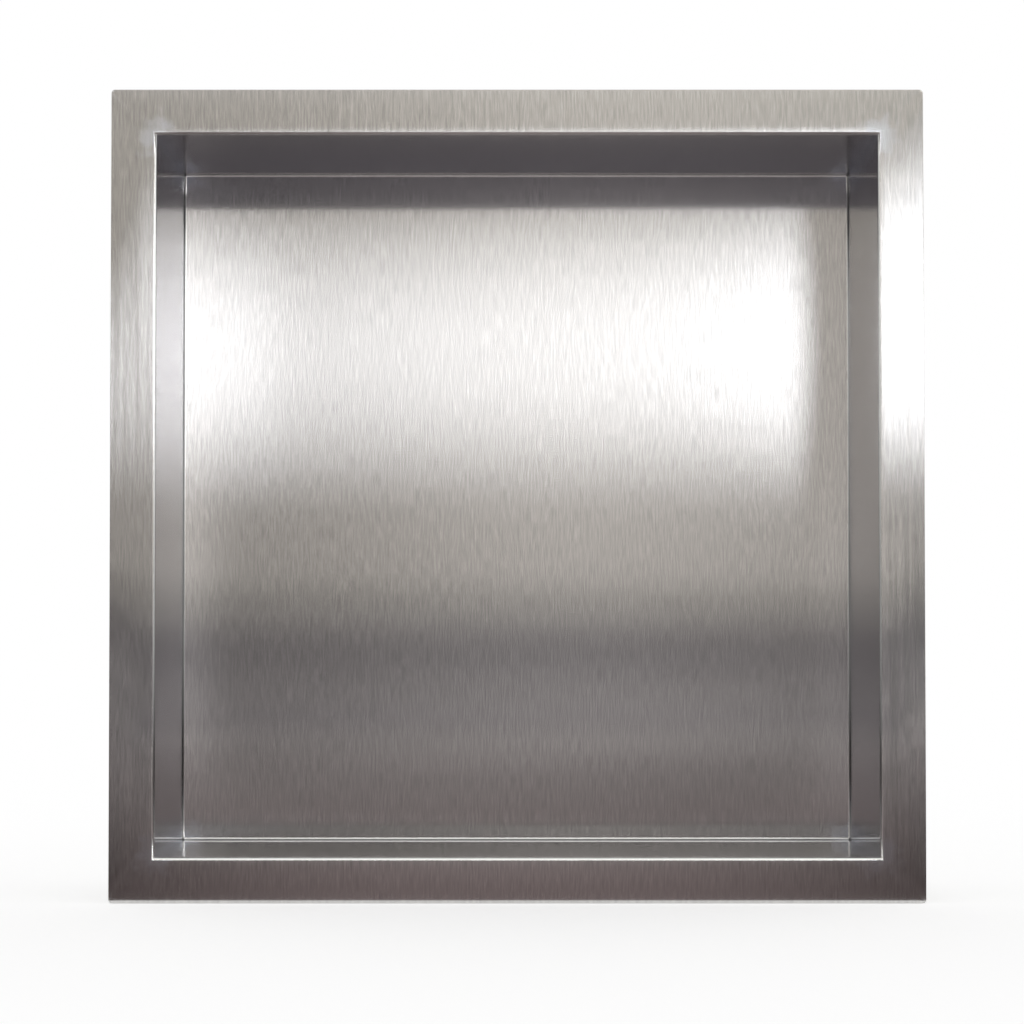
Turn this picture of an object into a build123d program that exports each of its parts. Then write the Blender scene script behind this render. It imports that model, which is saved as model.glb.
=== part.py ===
from build123d import *
import os

# Recessed shower niche: one stainless blank, folded into a box with an outward
# face flange, and welded along its four corners.
#
# X is the width, Z is up and Y runs into the wall. The origin is the centre of
# the opening, in the plane of the flange's back, which bears on the wall.

# Driving dimensions, in millimetres
opening_width = 300.0        # clear width between the side walls
opening_height = 300.0       # clear height between floor and ceiling
niche_depth = 100.0          # flange face to the face of the back panel
flange_width = 19.0          # wall face to the flange's outer edge
sheet = 1.2                  # thickness of the blank
flange_fold_radius = 0.2     # inside of the fold between wall and flange
back_fold_radius = 1.0       # inside of the fold between wall and back panel
flange_corner_radius = 1.5   # flange corners, seen from the front
edge_break = 0.3             # deburred front edge of the flange
bead_radius = 1.1            # weld bead left on each outside corner
bead_setback = 3.0           # the bead starts this far behind the flange, which seats flat

# Derived places
half_width = opening_width / 2
half_height = opening_height / 2
flange_face = -sheet
back_outside = flange_face + niche_depth + sheet


def folded_section(half_opening, skin):
    """Half a section through wall and folds, closed at the flange, mirrored to the whole.

    The skin is the distance behind the visible face: 0 is the face that is seen,
    and the sheet thickness is the hidden one.
    """
    wall = half_opening + skin
    front = flange_face + skin
    back = front + niche_depth
    flange_arc = flange_fold_radius + sheet - skin
    back_arc = back_fold_radius + skin

    fold_start = (wall + flange_arc, front)
    wall_start = (wall, front + flange_arc)
    wall_end = (wall, back - back_arc)
    back_start = (wall - back_arc, back)

    with BuildSketch() as section:
        with BuildLine():
            Line((0, front), fold_start)
            RadiusArc(fold_start, wall_start, flange_arc)
            Line(wall_start, wall_end)
            RadiusArc(wall_end, back_start, -back_arc)
            Line(back_start, (0, back))
            mirror(about=Plane.YZ)
        make_face()
    return section.sketch


def crossed_folds(skin):
    """The space behind a skin: the side folds and the floor and ceiling folds meet in mitres."""
    reach = max(half_width, half_height) + flange_width + niche_depth
    sides = extrude(folded_section(half_width, skin), reach, both=True)
    floor_and_ceiling = extrude(folded_section(half_height, skin), reach, both=True)
    return sides & floor_and_ceiling.rotate(Axis.Y, 90)


def flange_plate():
    """The flange before the opening is cut, with its corners rounded and its face edge deburred."""
    outline = RectangleRounded(
        opening_width + 2 * flange_width,
        opening_height + 2 * flange_width,
        flange_corner_radius,
    )
    plate = extrude(Plane.XZ * outline, sheet)
    face_edges = plate.faces().sort_by(Axis.Y)[0].edges()
    return fillet(face_edges, edge_break)


def corner_beads():
    """A weld bead with rounded ends along each outside corner, clear of the flange's back."""
    first = bead_setback + bead_radius
    last = back_outside - sheet - back_fold_radius
    middle = sheet / 2
    seam_x = half_width + middle
    seam_z = half_height + middle
    beads = []
    for x in (-seam_x, seam_x):
        for z in (-seam_z, seam_z):
            run = Cylinder(bead_radius, last - first, rotation=(90, 0, 0))
            beads.append(Pos(x, (first + last) / 2, z) * run)
            beads.append(Pos(x, first, z) * Sphere(bead_radius))
            beads.append(Pos(x, last, z) * Sphere(bead_radius))
    return beads


def niche_shell():
    blank = flange_plate() + crossed_folds(sheet) + corner_beads()
    return blank - crossed_folds(0)


os.makedirs("parts", exist_ok=True)
shell = niche_shell()
export_step(shell, "parts/niche_shell.step")
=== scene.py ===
import math

import bmesh
import bpy
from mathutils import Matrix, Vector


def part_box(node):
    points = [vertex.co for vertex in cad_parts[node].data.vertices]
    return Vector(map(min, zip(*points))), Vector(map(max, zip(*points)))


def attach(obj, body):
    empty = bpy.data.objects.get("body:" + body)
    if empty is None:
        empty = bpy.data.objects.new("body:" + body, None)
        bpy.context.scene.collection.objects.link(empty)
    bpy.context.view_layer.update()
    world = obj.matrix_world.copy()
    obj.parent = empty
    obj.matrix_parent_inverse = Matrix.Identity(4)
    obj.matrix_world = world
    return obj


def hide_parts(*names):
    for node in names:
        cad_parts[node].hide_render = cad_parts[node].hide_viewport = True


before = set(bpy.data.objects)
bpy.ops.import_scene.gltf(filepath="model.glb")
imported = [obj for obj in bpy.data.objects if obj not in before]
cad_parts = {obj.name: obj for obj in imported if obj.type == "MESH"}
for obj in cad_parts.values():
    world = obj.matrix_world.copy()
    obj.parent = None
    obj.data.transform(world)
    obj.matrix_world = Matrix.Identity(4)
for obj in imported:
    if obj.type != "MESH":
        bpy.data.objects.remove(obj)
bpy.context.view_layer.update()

# Sizes, in metres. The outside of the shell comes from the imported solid, and the
# plane of the flange's back is y = 0.
mm = 0.001
low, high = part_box("niche_shell")
flange_face = low.y
sheet = -flange_face
flange_half = high.x
flange_width = 19 * mm
half_opening = flange_half - flange_width
back_face = high.y - sheet
niche_depth = back_face - flange_face
flange_bend = 1.4 * mm       # outside of the fold between wall and flange
back_bend = 1.0 * mm         # inside of the fold between wall and back panel
roll_width = 4.0 * mm        # strip of the flange that the fold draws in a little
roll_drop = 0.06 * mm        # how far it is drawn in at the fold
flange_corner = 1.5 * mm     # flange corners, seen from the front
edge_break = 0.3 * mm        # deburred front edge of the flange
panel_unevenness = 0.3 * mm  # of the back panel, before it is smoothed out
bead_radius = 0.8 * mm       # weld bead along each outside corner
bead_offset = 0.9 * mm       # from the wall's seen face to the middle of the bead
bead_pitch = 1.6 * mm        # from one ripple of the bead to the next
bead_valley = 0.84           # a ripple's valley, as a share of the bead's radius
bead_setback = 3.0 * mm      # the bead starts this far behind the flange's back
near = 0.01 * mm             # how close a point lies to a place to be picked by it
straight = 0.999             # an edge's share along an axis, from which it runs along it
square_on = 0.9              # a normal's share along an axis, from which a card faces it
rim_angle = 60               # degrees between two faces, above which their edge is a rim

# How finely the shapes are cut
flange_bend_steps = 8
back_bend_steps = 10
corner_steps = 5
edge_steps = 2
width_cuts = 30              # across the panel, the walls and the flange
depth_cuts = 10              # along the depth of the walls
smoothing_rounds = 60
bead_sides = 12
shell_smooth_angle = 40      # degrees
bead_smooth_angle = 50


# Selecting and shaping

def pick(piece, kind, wanted):
    """Selects, in edit mode, only the vertices, edges or faces of the piece that are wanted."""
    bpy.ops.mesh.select_mode(type=kind)
    bpy.ops.mesh.select_all(action="DESELECT")
    mesh = bmesh.from_edit_mesh(piece.data)
    for part in {"VERT": mesh.verts, "EDGE": mesh.edges, "FACE": mesh.faces}[kind]:
        if wanted(part):
            part.select_set(True)
    mesh.select_flush_mode()
    bmesh.update_edit_mesh(piece.data)


def select_only(piece):
    """Makes the piece the only one that operators act on."""
    bpy.ops.object.select_all(action="DESELECT")
    piece.select_set(True)
    bpy.context.view_layer.objects.active = piece


def start_piece(name):
    """Names the primitive that was just added, applies its place and opens it for editing."""
    piece = bpy.context.object
    piece.name = name
    piece.data.name = name
    bpy.ops.object.transform_apply(location=True, rotation=True, scale=True)
    bpy.ops.object.mode_set(mode="EDIT")
    return piece


def apply_modifier(piece, kind, **settings):
    """Adds a modifier with its settings and applies it."""
    modifier = piece.modifiers.new(kind.lower(), kind)
    for name, value in settings.items():
        setattr(modifier, name, value)
    bpy.ops.object.modifier_apply(modifier=modifier.name)


def is_at(value, place):
    return abs(value - place) < near


def from_axis(vertex):
    """How far a vertex lies from the middle of the opening, to the side or up and down."""
    return max(abs(vertex.co.x), abs(vertex.co.z))


def on_square(edge, half, depth):
    """True for an edge of the square of that half width, at that depth."""
    return all(is_at(v.co.y, depth) and is_at(from_axis(v), half) for v in edge.verts)


def runs_along(edge, axis):
    """True for a long edge along the X, Y or Z axis, given as 0, 1 or 2."""
    run = edge.verts[1].co - edge.verts[0].co
    return abs(run[axis]) > niche_depth / 2 and abs(run[axis]) > straight * run.length


# The niche shell: one blank of sheet, folded into a box with an outward flange

def fold_blank():
    """The seen skin of the sheet: flange, walls and back panel, with radiused folds."""
    bpy.ops.object.select_all(action="DESELECT")
    bpy.ops.mesh.primitive_plane_add(
        size=2 * flange_half, location=(0, flange_face, 0), rotation=(math.pi / 2, 0, 0)
    )
    shell = start_piece("niche_shell_sheet")
    bpy.ops.mesh.select_all(action="SELECT")
    bpy.ops.mesh.inset(thickness=flange_width - roll_width, depth=0)
    bpy.ops.mesh.inset(thickness=roll_width, depth=0)
    bpy.ops.transform.translate(value=(0, roll_drop, 0))
    bpy.ops.mesh.extrude_region_move(TRANSFORM_OT_translate={"value": (0, niche_depth - roll_drop, 0)})
    pick(shell, "EDGE", lambda edge: on_square(edge, half_opening, flange_face + roll_drop))
    bpy.ops.mesh.bevel(offset=flange_bend, segments=flange_bend_steps, affect="EDGES")
    pick(shell, "EDGE", lambda edge: on_square(edge, half_opening, back_face))
    bpy.ops.mesh.bevel(offset=back_bend, segments=back_bend_steps, affect="EDGES")
    for axis, cuts in ((0, width_cuts), (2, width_cuts), (1, depth_cuts)):
        pick(shell, "EDGE", lambda edge: runs_along(edge, axis))
        bpy.ops.mesh.subdivide(number_cuts=cuts)
    bpy.ops.object.mode_set(mode="OBJECT")
    return shell


def unfold(point, is_side):
    """Where a point of the seen skin lay on the flat blank, in metres from its middle."""
    fold_out = back_face - point.y
    if is_side:
        return point.x + math.copysign(fold_out, point.x), point.z
    return point.x, point.z + math.copysign(fold_out, point.z)


def map_blank(shell):
    """Gives the skin a UV map of the flat blank, so that brushing runs along V, over every fold."""
    layer = shell.data.uv_layers.new(name="blank")
    for polygon in shell.data.polygons:
        is_side = abs(polygon.center.x) > abs(polygon.center.z)
        for loop in polygon.loop_indices:
            point = shell.data.vertices[shell.data.loops[loop].vertex_index].co
            layer.data[loop].uv = unfold(point, is_side)


def mark_folds(shell):
    """Marks the faces of the folds, which are painted paler as a highlight: those that aren't square to an
    axis.
    """
    flat = 0.99
    fold_highlight = shell.data.attributes.new("fold_highlight", "FLOAT", "FACE")
    for polygon in shell.data.polygons:
        fold_highlight.data[polygon.index].value = max(abs(share) for share in polygon.normal) < flat


def ripple_panel(shell):
    """Leaves the back panel a little uneven, as thin sheet is between its folds."""
    inner = half_opening - back_bend - near
    bpy.ops.object.mode_set(mode="EDIT")
    pick(shell, "VERT", lambda v: is_at(v.co.y, back_face) and from_axis(v) < inner)
    bpy.ops.transform.vertex_random(offset=panel_unevenness, normal=1, seed=4)
    bpy.ops.mesh.vertices_smooth(
        factor=0.5, repeat=smoothing_rounds, xaxis=False, yaxis=True, zaxis=False
    )
    bpy.ops.object.mode_set(mode="OBJECT")


def thicken(shell):
    """Gives the skin its sheet thickness, rounds the flange corners and breaks the front edge."""
    apply_modifier(
        shell, "SOLIDIFY", thickness=sheet, offset=-1, use_even_offset=True,
        use_rim=True, material_offset=1, material_offset_rim=2,
    )
    bpy.ops.object.mode_set(mode="EDIT")

    def at_flange_corner(edge):
        return all(is_at(abs(v.co.x), flange_half) and is_at(abs(v.co.z), flange_half) for v in edge.verts)

    pick(shell, "EDGE", at_flange_corner)
    bpy.ops.mesh.bevel(offset=flange_corner, segments=corner_steps, affect="EDGES")

    def on_front_rim(edge):
        outer = flange_half - flange_corner - near
        on_rim = all(is_at(v.co.y, flange_face) and from_axis(v) > outer for v in edge.verts)
        return on_rim and edge.calc_face_angle(0) > math.radians(rim_angle)

    pick(shell, "EDGE", on_front_rim)
    bpy.ops.mesh.bevel(offset=edge_break, segments=edge_steps, affect="EDGES")
    bpy.ops.object.mode_set(mode="OBJECT")


def smooth(piece, angle):
    """Shades smooth below the angle, and keeps the flats flat beside their folds."""
    bpy.ops.object.shade_smooth_by_angle(angle=math.radians(angle))
    apply_modifier(piece, "WEIGHTED_NORMAL", mode="FACE_AREA", weight=90, keep_sharp=True)


# Weld beads on the hidden outside of the four corners

def lay_bead():
    """A rippled bead with rounded ends, along Y and clear of the flange, on the line x = z = 0."""
    first = bead_setback + bead_radius
    last = back_face - back_bend
    ripples = round((last - first) / bead_pitch)
    bpy.ops.object.select_all(action="DESELECT")
    bpy.ops.mesh.primitive_cylinder_add(
        vertices=bead_sides, radius=bead_radius, depth=last - first,
        location=(0, (first + last) / 2, 0), rotation=(math.pi / 2, 0, 0),
    )
    bead = start_piece("weld_bead")
    for end, way in ((first, -1), (last, 1)):
        pick(bead, "FACE", lambda face: all(is_at(v.co.y, end) for v in face.verts))
        bpy.ops.mesh.inset(thickness=bead_radius / 2, depth=0)
        bpy.ops.transform.translate(value=(0, way * bead_radius / 2, 0))
    pick(bead, "EDGE", lambda edge: runs_along(edge, 1))
    bpy.ops.mesh.subdivide(number_cuts=2 * ripples - 1)

    def in_a_valley(vertex):
        step = (vertex.co.y - first) / (last - first) * 2 * ripples
        return 0 < step < 2 * ripples and round(step) % 2 == 1

    pick(bead, "VERT", in_a_valley)
    bpy.ops.transform.resize(value=(bead_valley, 1, bead_valley))
    bpy.ops.object.mode_set(mode="OBJECT")
    smooth(bead, bead_smooth_angle)
    return bead


def move_bead(bead, name, x, z):
    """Names a bead for its corner and moves it there."""
    seam = half_opening + bead_offset
    bead.name = "weld_bead_" + name
    bead.data.name = bead.name
    bpy.ops.transform.translate(value=(x * seam, 0, z * seam))
    bpy.ops.object.transform_apply(location=True, rotation=True, scale=True)


def place_beads():
    """A bead at each corner, where it stands a little proud of the sheet."""
    bead = lay_bead()
    beads = [bead]
    for name, x, z in (("top_left", -1, 1), ("bottom_left", -1, -1), ("bottom_right", 1, -1)):
        select_only(bead)
        bpy.ops.object.duplicate()
        beads.append(bpy.context.object)
        move_bead(beads[-1], name, x, z)
    select_only(bead)
    move_bead(bead, "top_right", 1, 1)
    return beads


# Materials

def linear(hex_colour):
    """An sRGB hex colour as linear RGBA."""
    shares = [int(hex_colour[i:i + 2], 16) / 255 for i in (1, 3, 5)]
    return [s / 12.92 if s < 0.04045 else ((s + 0.055) / 1.055) ** 2.4 for s in shares] + [1]


def add(tree, kind, links=None, values=None, **settings):
    """Adds a node with its settings, its input values and the sockets linked to its inputs."""
    node = tree.nodes.new("ShaderNode" + kind)
    for name, value in settings.items():
        setattr(node, name, value)
    for name, value in (values or {}).items():
        node.inputs[name].default_value = value
    for name, socket in (links or {}).items():
        tree.links.new(socket, node.inputs[name])
    return node


def new_material(name):
    """An empty node material and its output node."""
    material = bpy.data.materials.new(name)
    material.use_nodes = True
    tree = material.node_tree
    tree.nodes.clear()
    return material, tree, add(tree, "OutputMaterial")


def place_along(tree, axis):
    """The place of a point along an axis, in metres."""
    place = add(tree, "TexCoord")
    return add(tree, "SeparateXYZ", {"Vector": place.outputs["Object"]}).outputs[axis]


def from_corner(tree, weights, corner):
    """How far a point lies from the nearest of the corners, along the axes that have a weight."""
    place = add(tree, "TexCoord")
    folded = add(tree, "VectorMath", {0: place.outputs["Object"]}, operation="ABSOLUTE")
    offset = add(tree, "VectorMath", {0: folded.outputs["Vector"]}, {1: corner}, operation="SUBTRACT")
    flat = add(tree, "VectorMath", {0: offset.outputs["Vector"]}, {1: weights}, operation="MULTIPLY")
    return add(tree, "VectorMath", {0: flat.outputs["Vector"]}, operation="LENGTH").outputs["Value"]


def belt_pattern(tree, width, length, detail):
    """Marks of the brushing belt, of that width and length on the flat blank."""
    blank = add(tree, "UVMap", uv_map="blank")
    stretched = add(
        tree, "Mapping", {"Vector": blank.outputs["UV"]}, {"Scale": (1 / width, 1 / length, 1)}
    )
    return add(
        tree, "TexNoise", {"Vector": stretched.outputs["Vector"]},
        {"Scale": 1.0, "Detail": detail, "Roughness": 0.6}, noise_dimensions="2D",
    ).outputs["Fac"]


def leaning_normal(tree, across, scratches, streaks):
    """The normal of grooves that lean to one side, in slopes.

    The flange was brushed again after welding, so its streaks lean more than those inside.
    """
    flange_lean = 0.07
    inside_lean = 0.012
    scratch_lean = 0.005
    streak_lean = add(
        tree, "MapRange", {"Value": place_along(tree, "Y")},
        {"From Min": 0, "From Max": 3 * mm, "To Min": flange_lean, "To Max": inside_lean},
    )
    fine = add(tree, "MapRange", {"Value": scratches}, {"To Min": -scratch_lean, "To Max": scratch_lean})
    long = add(tree, "MapRange", {"Value": streaks}, {"To Min": -1, "To Max": 1})
    side = add(
        tree, "Math",
        {0: long.outputs["Result"], 1: streak_lean.outputs["Result"], 2: fine.outputs["Result"]},
        operation="MULTIPLY_ADD",
    )
    lean = add(tree, "VectorMath", {0: across, "Scale": side.outputs["Value"]}, operation="SCALE")
    geometry = add(tree, "NewGeometry")
    leaning = add(
        tree, "VectorMath", {0: geometry.outputs["Normal"], 1: lean.outputs["Vector"]}, operation="ADD"
    )
    return add(tree, "VectorMath", {0: leaning.outputs["Vector"]}, operation="NORMALIZE").outputs["Vector"]


def dressed_welds_and_sheen(tree):
    """1 on the dressed welds, in clouds of a few millimetres, and 0 past them. The steel there is rougher,
    and a paler bluer colour is painted there as a reflection.
    """
    cloud = 5 * mm
    raggedness = 16 * mm
    place = add(tree, "TexCoord")
    clouds = add(
        tree, "TexNoise", {"Vector": place.outputs["Object"]}, {"Scale": 1 / cloud, "Detail": 2}
    )
    reach = from_corner(tree, (1, 0, 1), (half_opening, 0, half_opening))
    ragged = add(
        tree, "Math", {0: clouds.outputs["Fac"], 2: reach}, {1: -raggedness}, operation="MULTIPLY_ADD"
    )
    return add(
        tree, "MapRange", {"Value": ragged.outputs["Value"]},
        {"From Min": 3 * mm, "From Max": -6 * mm, "To Min": 0, "To Max": 1},
        interpolation_type="SMOOTHSTEP",
    ).outputs["Result"]


def corner_shade(tree):
    """1 in the back corners where three folds meet, which are painted dark as shade, and 0 just past them.
    """
    inset = back_bend / 2
    corner = (half_opening - inset, back_face - inset, half_opening - inset)
    return add(
        tree, "MapRange", {"Value": from_corner(tree, (1, 1, 1), corner)},
        {"From Min": 0.2 * mm, "From Max": 0.6 * mm, "To Min": 1, "To Max": 0},
    ).outputs["Result"]


def brushed_colour(tree, scratches, dressing_and_sheen):
    """Steel that varies with its scratches, with a painted reflection on the dressed welds, a painted
    highlight on the folds and painted shade in the back corners.
    """
    colour = add(
        tree, "Mix", {0: scratches}, {6: linear("#BCBBBA"), 7: linear("#DFDEDC")}, data_type="RGBA"
    )
    folds = add(tree, "Attribute", attribute_name="fold_highlight").outputs["Fac"]
    # Paler and bluer on the dressed welds, a painted reflection; paler on the folds, a painted highlight;
    # dark in the back corners, painted shade.
    for share, hue in ((dressing_and_sheen, "#D9DBDF"), (folds, "#F2F2F0"), (corner_shade(tree), "#3A3A3C")):
        colour = add(tree, "Mix", {0: share, 6: colour.outputs[2]}, {7: linear(hue)}, data_type="RGBA")
    return colour.outputs[2]


def groove_flank(tree, slope, colour, dull, normal, across):
    """The flanks of the grooves on one side, tilted across the brushing."""
    tilt = add(
        tree, "VectorMath", {0: across, 2: normal}, {1: (slope, slope, slope)}, operation="MULTIPLY_ADD"
    )
    tilted = add(tree, "VectorMath", {0: tilt.outputs["Vector"]}, operation="NORMALIZE")
    return add(
        tree, "BsdfAnisotropic",
        {"Color": colour, "Roughness": dull, "Normal": tilted.outputs["Vector"], "Tangent": across},
        {"Anisotropy": -0.82}, distribution="MULTI_GGX",
    ).outputs["BSDF"]


def brushed_stainless():
    """Stainless sheet, brushed in one direction with a belt.

    The grooves run along V of the blank. They spread a light far across the brushing and
    leave it sharp along it. At a flat angle the grooves close up, and the metal mirrors.
    Some runs of grooves lean to one side, which shows as streaks. Round the welded
    corners the brushing is dressed rougher, and a paler colour is painted there as a reflection;
    the folds are painted paler as a highlight, and the back corners darker as shade.
    """
    material, tree, output = new_material("brushed_stainless")
    across = add(tree, "Tangent", direction_type="UV_MAP", uv_map="blank").outputs["Tangent"]

    # The scratches are drawn coarser than the belt's grit, so that they show
    scratches = belt_pattern(tree, width=0.65 * mm, length=8 * mm, detail=1.0)
    streaks = belt_pattern(tree, width=2.2 * mm, length=140 * mm, detail=1.5)
    normal = leaning_normal(tree, across, scratches, streaks)
    dressing_and_sheen = dressed_welds_and_sheen(tree)
    colour = brushed_colour(tree, scratches, dressing_and_sheen)

    # A core that gets sharper at a flat angle
    facing = add(tree, "LayerWeight", values={"Blend": 0.5}).outputs["Facing"]
    dull = add(tree, "MapRange", {"Value": dressing_and_sheen}, {"To Min": 0.17, "To Max": 0.25}).outputs["Result"]
    closing = add(tree, "MapRange", {"Value": facing}, {"To Min": 1.0, "To Max": 0.5})
    rough = add(tree, "Math", {0: dull, 1: closing.outputs["Result"]}, operation="MULTIPLY")
    core = add(
        tree, "BsdfPrincipled",
        {"Base Color": colour, "Roughness": rough.outputs["Value"], "Normal": normal, "Tangent": across},
        {"Metallic": 1, "Anisotropic": 1.0, "Specular Tint": linear("#ECECEF")},
    )

    # The flanks of the grooves, hidden at a flat angle
    slope = 0.2
    flanks = add(
        tree, "MixShader",
        {
            1: groove_flank(tree, -slope, colour, dull, normal, across),
            2: groove_flank(tree, slope, colour, dull, normal, across),
        },
        {0: 0.5},
    )
    share = add(
        tree, "MapRange", {"Value": facing},
        {"From Min": 0.05, "From Max": 0.6, "To Min": 0.6, "To Max": 0},
    )
    metal = add(
        tree, "MixShader",
        {0: share.outputs["Result"], 1: core.outputs["BSDF"], 2: flanks.outputs["Shader"]},
    )
    tree.links.new(metal.outputs["Shader"], output.inputs["Surface"])
    return material


def mill_stainless():
    """The same sheet with its cold-rolled mill finish: a dull, slightly cloudy grey.

    Faint rolling lines run across it, and the welds leave straw and blue beside the corners.
    """
    material, tree, output = new_material("mill_stainless")
    cloud = 35 * mm
    line_length = 120 * mm
    line_width = 2 * mm
    place = add(tree, "TexCoord")
    clouds = add(
        tree, "TexNoise", {"Vector": place.outputs["Object"]}, {"Scale": 1 / cloud, "Detail": 3}
    )
    rolled = add(
        tree, "Mapping", {"Vector": place.outputs["Object"]},
        {"Scale": (1 / line_length, 1 / line_width, 1 / line_width)},
    )
    lines = add(
        tree, "TexNoise", {"Vector": rolled.outputs["Vector"]}, {"Scale": 1, "Detail": 2}
    )
    uneven = add(
        tree, "Math", {0: clouds.outputs["Fac"], 1: lines.outputs["Fac"]}, operation="ADD"
    )
    grey = add(
        tree, "MapRange", {"Value": uneven.outputs["Value"]}, {"From Min": 0.7, "From Max": 1.3}
    )
    steel = add(
        tree, "Mix", {0: grey.outputs["Result"]}, {6: linear("#B4B4B2"), 7: linear("#C9C9C6")},
        data_type="RGBA",
    )
    colour = add(
        tree, "Mix", {6: steel.outputs[2], 7: heat_tint(tree, clouds.outputs["Fac"])}, {0: 1.0},
        data_type="RGBA", blend_type="MULTIPLY",
    )
    rough = add(
        tree, "MapRange", {"Value": grey.outputs["Result"]}, {"To Min": 0.4, "To Max": 0.32}
    )
    metal = add(
        tree, "BsdfPrincipled",
        {"Base Color": colour.outputs[2], "Roughness": rough.outputs["Result"]}, {"Metallic": 1},
    )
    tree.links.new(metal.outputs["BSDF"], output.inputs["Surface"])
    return material


def heat_tint(tree, clouds):
    """The colours that welding leaves beside the corners, blue, then straw, then none."""
    outside = half_opening + sheet
    raggedness = 4 * mm
    reach = from_corner(tree, (1, 0, 1), (outside, 0, outside))
    ragged = add(tree, "Math", {0: clouds, 2: reach}, {1: raggedness}, operation="MULTIPLY_ADD")
    heat = add(
        tree, "MapRange", {"Value": ragged.outputs["Value"]}, {"From Min": 2 * mm, "From Max": 11 * mm}
    )
    tint = add(tree, "ValToRGB", {"Fac": heat.outputs["Result"]})
    keys = tint.color_ramp.elements
    keys[0].color = linear("#8E949E")
    keys[1].color = linear("#FFFFFF")
    for at, hue in ((0.25, "#9AA3B4"), (0.5, "#D8C4A2")):
        keys.new(at).color = linear(hue)
    return tint.outputs["Color"]


def sheared_stainless():
    """The cut edge of the sheet, sheared and then deburred, with fine marks through its thickness."""
    material, tree, output = new_material("sheared_stainless")
    mark_width = 0.5 * mm
    mark_length = 6 * mm
    place = add(tree, "TexCoord")
    stretched = add(
        tree, "Mapping", {"Vector": place.outputs["Object"]},
        {"Scale": (1 / mark_width, 1 / mark_length, 1 / mark_width)},
    )
    marks = add(tree, "TexNoise", {"Vector": stretched.outputs["Vector"]}, {"Scale": 1, "Detail": 1})
    steel = add(
        tree, "Mix", {0: marks.outputs["Fac"]}, {6: linear("#BAB8B4"), 7: linear("#D2D0CC")},
        data_type="RGBA",
    )
    metal = add(
        tree, "BsdfPrincipled", {"Base Color": steel.outputs[2]}, {"Metallic": 1, "Roughness": 0.32}
    )
    tree.links.new(metal.outputs["BSDF"], output.inputs["Surface"])
    return material


def welded_stainless():
    """A weld bead as laid, wire-brushed: bright, with straw to blue heat colours."""
    material, tree, output = new_material("welded_stainless")
    cloud = 8 * mm
    place = add(tree, "TexCoord")
    clouds = add(
        tree, "TexNoise", {"Vector": place.outputs["Object"]}, {"Scale": 1 / cloud, "Detail": 1}
    )
    tint = add(tree, "ValToRGB", {"Fac": clouds.outputs["Fac"]})
    keys = tint.color_ramp.elements
    keys[0].position = 0.3
    keys[0].color = linear("#9CA3AE")
    keys[1].position = 0.7
    keys[1].color = linear("#C9BCA4")
    metal = add(
        tree, "BsdfPrincipled", {"Base Color": tint.outputs["Color"]}, {"Metallic": 1, "Roughness": 0.34}
    )
    tree.links.new(metal.outputs["BSDF"], output.inputs["Surface"])
    return material


def fit(piece):
    """Lets the piece ride on the frame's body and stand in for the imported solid."""
    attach(piece, "root")
    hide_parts("niche_shell")


shell = fold_blank()
map_blank(shell)
mark_folds(shell)
ripple_panel(shell)
for finish in (brushed_stainless(), mill_stainless(), sheared_stainless()):
    shell.data.materials.append(finish)
thicken(shell)
smooth(shell, shell_smooth_angle)
fit(shell)

weld_finish = welded_stainless()
for bead in place_beads():
    bead.data.materials.append(weld_finish)
    fit(bead)


# Studio: pale floor, round softbox, and a grey room for the metal to reflect

white = (1, 1, 1, 1)
ambient = 0.55               # even light on the floor
floor_size = 12
floor_pale = 0.85            # share of the light that the floor sends back
softbox_centre = (0.456, -1.4, 0.237)
softbox_radius = 0.172
softbox_sides = 64
softbox_colour = "#F8FAFF"
softbox_strength = 11.6
room_front = -1.42
room_side = 1.5
room_back = 0.4              # how far the room's sides run past the flange
room_top = 1.2
recess_back = -1.8           # a recess in the room's front wall, at the camera's height
recess_low = -0.15
recess_high = -0.015
board_gap = 10 * mm          # from the flange to the board on the floor
board_lift = 0.2 * mm        # of the board above the floor

# Fades to either side: middle, half width that is even, reach, and the levels in and past them
middle_fade = (0.1, 0.05, 0.3, 2.5, 0)
wide_fade = (-0.35, 0.2, 0.95, 1, 0.12)
high_fade = (0.8, 0.1, 0.7, 1.4, 0)
board_fade = (0, 0.03, 0.3, 1.7, 0.2)
right_level = 2              # the right side is lit more than the left

# Tones of the room: places along an axis, in metres, and the colours there
middle_tones = (
    (-0.3, "#D8D2CC"), (-0.14, "#D2CCCC"), (-0.06, "#807C82"),
    (-0.03, "#EAE5E0"), (0.25, "#DCD8D4"), (0.8, "#606060"),
)
wide_tones = (
    (-0.25, "#201C1A"), (-0.06, "#504A4A"), (0, "#625A54"),
    (0.33, "#8C847A"), (0.45, "#968E84"), (0.6, "#FFFFFF"),
)
high_tones = ((0.3, "#000000"), (0.8, "#FFFAE8"))
recess_tones = ((recess_low, "#6E6A72"), (recess_high, "#0A0A0A"))
left_tones = ((-0.2, "#606060"), (0.3, "#F0F0F0"), (0.8, "#FFFFFF"))
right_tones = ((-0.2, "#303030"), (0.1, "#C0C0C0"), (0.8, "#FFFFFF"))
board_tones = ((-1.3, "#BEB6B6"), (-0.06, "#645A5A"))


def show_only_in_metal(card):
    """A card that is seen in reflections only, and neither lights nor shades the floor."""
    card.visible_camera = False
    card.visible_diffuse = False
    card.visible_shadow = False


def seen_share(tree):
    """1 for rays from the camera, from metal and through glass, else 0."""
    path = add(tree, "LightPath")
    metal = add(
        tree, "Math", {0: path.outputs["Is Camera Ray"], 1: path.outputs["Is Glossy Ray"]},
        operation="MAXIMUM",
    )
    return add(
        tree, "Math", {0: metal.outputs["Value"], 1: path.outputs["Is Transmission Ray"]},
        operation="MAXIMUM",
    ).outputs["Value"]


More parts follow.
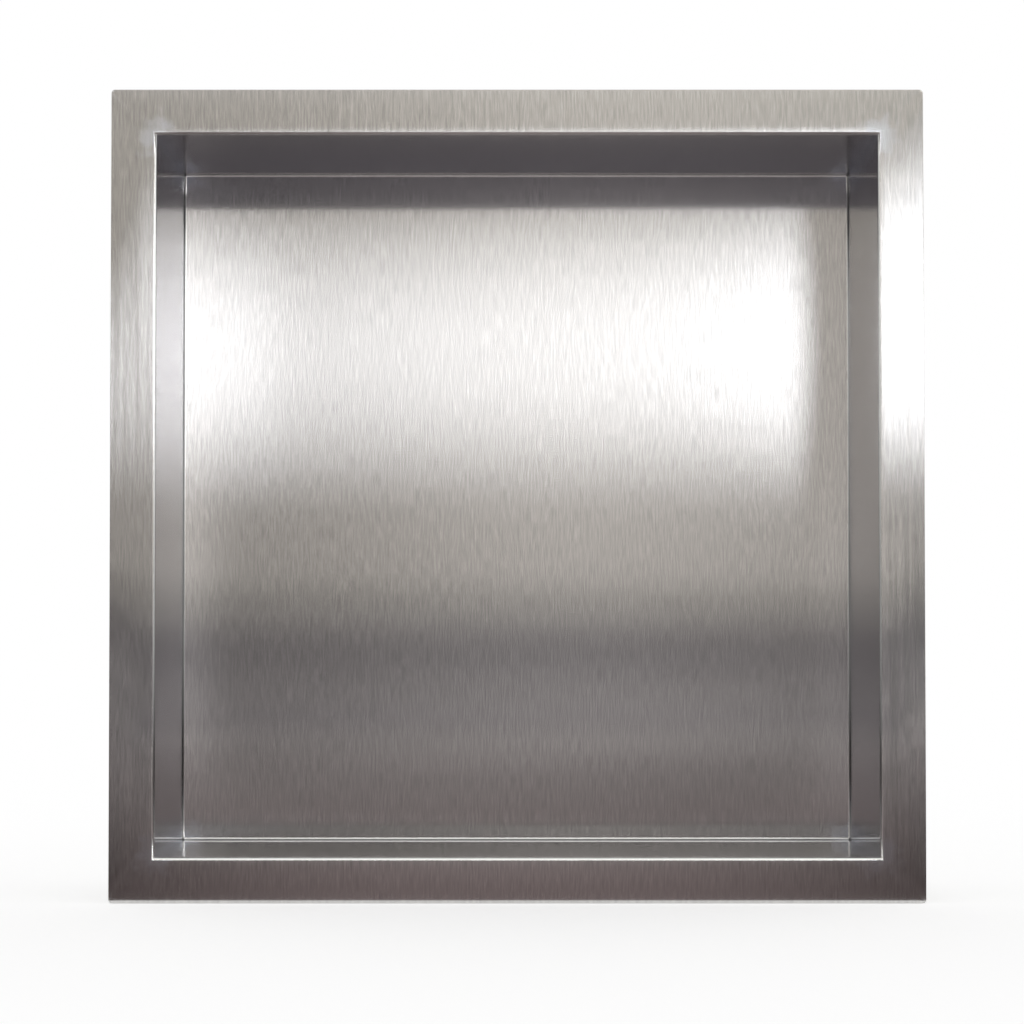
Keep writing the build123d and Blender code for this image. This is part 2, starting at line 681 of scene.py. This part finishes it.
def light_world():
    """White where it is seen, and a lower even light elsewhere."""
    world = bpy.data.worlds.new("studio")
    bpy.context.scene.world = world
    world.use_nodes = True
    tree = world.node_tree
    tree.nodes.clear()
    strength = add(
        tree, "MapRange", {"Value": seen_share(tree)}, {"To Min": ambient, "To Max": 1.0}
    )
    sky = add(tree, "Background", {"Strength": strength.outputs["Result"]}, {"Color": white})
    output = add(tree, "OutputWorld")
    tree.links.new(sky.outputs["Background"], output.inputs["Surface"])


def lay_floor():
    """A pale floor under the flange, white to the camera apart from the soft shadow."""
    bpy.ops.object.select_all(action="DESELECT")
    bpy.ops.mesh.primitive_plane_add(size=floor_size, location=(0, 0, low.z))
    floor = bpy.context.object
    floor.name = "floor"
    material, tree, output = new_material("pale_floor")
    matt = add(tree, "BsdfDiffuse", values={"Color": (floor_pale, floor_pale, floor_pale, 1)})
    glow = add(
        tree, "MapRange", {"Value": seen_share(tree)}, {"To Min": 0, "To Max": 1 - floor_pale * ambient}
    )
    paper = add(tree, "Emission", {"Strength": glow.outputs["Result"]}, {"Color": white})
    both = add(tree, "AddShader", {0: matt.outputs["BSDF"], 1: paper.outputs["Emission"]})
    tree.links.new(both.outputs["Shader"], output.inputs["Surface"])
    floor.data.materials.append(material)


def fade_sideways(tree, middle, even, reach, level, rest):
    """The level within the even part round the middle, falling to the rest at its reach."""
    aside = add(tree, "Math", {0: place_along(tree, "X")}, {1: middle}, operation="SUBTRACT")
    far = add(tree, "Math", {0: aside.outputs["Value"]}, operation="ABSOLUTE")
    return add(
        tree, "MapRange", {"Value": far.outputs["Value"]},
        {"From Min": even, "From Max": reach, "To Min": level, "To Max": rest},
        interpolation_type="SMOOTHSTEP",
    ).outputs["Result"]


def glow_along(tree, axis, tones, fade=None, level=1):
    """A glow whose colour changes along an axis, at one level or with a fade to either side."""
    first, last = tones[0][0], tones[-1][0]
    along = add(
        tree, "MapRange", {"Value": place_along(tree, axis)}, {"From Min": first, "From Max": last}
    )
    ramp = add(tree, "ValToRGB", {"Fac": along.outputs["Result"]})
    keys = ramp.color_ramp.elements
    while len(keys) < len(tones):
        keys.new(0.5)
    for key, (place, colour) in zip(keys, tones):
        key.position = (place - first) / (last - first)
        key.color = linear(colour)
    glow = add(tree, "Emission", {"Color": ramp.outputs["Color"]}, {"Strength": level})
    if fade:
        tree.links.new(fade_sideways(tree, *fade), glow.inputs["Strength"])
    return glow


def glowing(name, *glows):
    """A paint that adds up glows, each given by its axis, its tones, its fade and its level."""
    material, tree, output = new_material(name)
    total = glow_along(tree, *glows[0])
    for glow in glows[1:]:
        more = glow_along(tree, *glow)
        total = add(tree, "AddShader", {0: total.outputs[0], 1: more.outputs[0]})
    tree.links.new(total.outputs[0], output.inputs["Surface"])
    return material


def shape_room():
    """The wall behind the camera, with a recess at the camera's height, and its two sides."""
    bpy.ops.object.select_all(action="DESELECT")
    bpy.ops.mesh.primitive_plane_add(size=2, location=(0, room_front, 0), rotation=(math.pi / 2, 0, 0))
    room = start_piece("room")
    height = room_top - recess_high
    bpy.ops.mesh.select_all(action="SELECT")
    bpy.ops.transform.resize(value=(room_side, 1, height / 2))
    bpy.ops.transform.translate(value=(0, 0, recess_high + height / 2))

    def at_foot(edge):
        return all(is_at(v.co.z, recess_high) for v in edge.verts)

    def at_side(edge):
        one, other = (v.co for v in edge.verts)
        return is_at(abs(one.x), room_side) and is_at(one.x, other.x) and is_at(one.y, other.y)

    pick(room, "EDGE", at_foot)
    for step in (
        (0, recess_back - room_front, 0), (0, 0, recess_low - recess_high),
        (0, room_front - recess_back, 0), (0, 0, low.z - recess_low),
    ):
        bpy.ops.mesh.extrude_region_move(TRANSFORM_OT_translate={"value": step})
    pick(room, "EDGE", at_side)
    bpy.ops.mesh.extrude_region_move(TRANSFORM_OT_translate={"value": (0, room_back - room_front, 0)})
    bpy.ops.object.mode_set(mode="OBJECT")
    return room


def paint_room(room):
    """Paints the front, the recess and the two sides, each with its own glow."""
    front_glows = (
        ("Z", middle_tones, middle_fade), ("Z", wide_tones, wide_fade), ("Z", high_tones, high_fade),
    )
    for paint in (
        glowing("front_paint", *front_glows),
        glowing("recess_paint", ("Z", recess_tones)),
        glowing("left_paint", ("Z", left_tones)),
        glowing("right_paint", ("Z", right_tones, None, right_level)),
    ):
        room.data.materials.append(paint)
    front, recess, left, right = range(4)
    for polygon in room.data.polygons:
        polygon.material_index = front
        if abs(polygon.normal.z) > square_on:
            polygon.material_index = recess
        elif abs(polygon.normal.x) > square_on:
            polygon.material_index = left if polygon.center.x < 0 else right
    show_only_in_metal(room)


def lay_board():
    """A grey board on the floor, in front of the flange."""
    length = flange_face - board_gap - room_front
    bpy.ops.object.select_all(action="DESELECT")
    bpy.ops.mesh.primitive_plane_add(size=2, location=(0, 0, low.z + board_lift))
    board = start_piece("board")
    bpy.ops.mesh.select_all(action="SELECT")
    bpy.ops.transform.resize(value=(room_side, length / 2, 1))
    bpy.ops.transform.translate(value=(0, flange_face - board_gap - length / 2, 0))
    bpy.ops.object.mode_set(mode="OBJECT")
    board.data.materials.append(glowing("board_paint", ("Y", board_tones, board_fade)))
    show_only_in_metal(board)


def softbox_cloth():
    """White cloth lit from behind, brightest in its middle."""
    material, tree, output = new_material("softbox_cloth")
    place = add(tree, "TexCoord")
    offset = add(
        tree, "VectorMath", {0: place.outputs["Object"]}, {1: softbox_centre}, operation="SUBTRACT"
    )
    distance = add(tree, "VectorMath", {0: offset.outputs["Vector"]}, operation="LENGTH")
    out = add(tree, "Math", {0: distance.outputs["Value"]}, {1: softbox_radius}, operation="DIVIDE")
    square = add(tree, "Math", {0: out.outputs["Value"]}, {1: 2.0}, operation="POWER")
    fall = add(
        tree, "MapRange", {"Value": square.outputs["Value"]},
        {"From Min": 0, "From Max": 1, "To Min": softbox_strength, "To Max": 0},
    )
    glow = add(tree, "Emission", {"Strength": fall.outputs["Result"]}, {"Color": linear(softbox_colour)})
    tree.links.new(glow.outputs["Emission"], output.inputs["Surface"])
    return material


def hang_softbox():
    """A round softbox to the right, above the camera."""
    bpy.ops.object.select_all(action="DESELECT")
    bpy.ops.mesh.primitive_circle_add(
        vertices=softbox_sides, radius=softbox_radius, fill_type="NGON",
        location=softbox_centre, rotation=(math.pi / 2, 0, 0),
    )
    softbox = start_piece("softbox")
    bpy.ops.object.mode_set(mode="OBJECT")
    softbox.data.materials.append(softbox_cloth())
    show_only_in_metal(softbox)


light_world()
lay_floor()
paint_room(shape_room())
lay_board()
hang_softbox()


# Camera: a little left of the middle and below it, tilted up slightly

camera_place = (-4.4 * mm, -1.1452, -58.5 * mm)
camera_tilt = math.radians(1.65)
camera_lens = 97.09          # millimetres, as the sensor's width is
camera_sensor = 36
camera_shift = (0.0052, 0.0433)

camera = bpy.data.objects.new("camera", bpy.data.cameras.new("camera"))
bpy.context.collection.objects.link(camera)
camera.location = camera_place
camera.rotation_euler = (math.pi / 2 + camera_tilt, 0, 0)
camera.data.lens = camera_lens
camera.data.sensor_width = camera_sensor
camera.data.shift_x, camera.data.shift_y = camera_shift
bpy.context.scene.camera = camera
bpy.context.scene.view_settings.view_transform = "Standard"
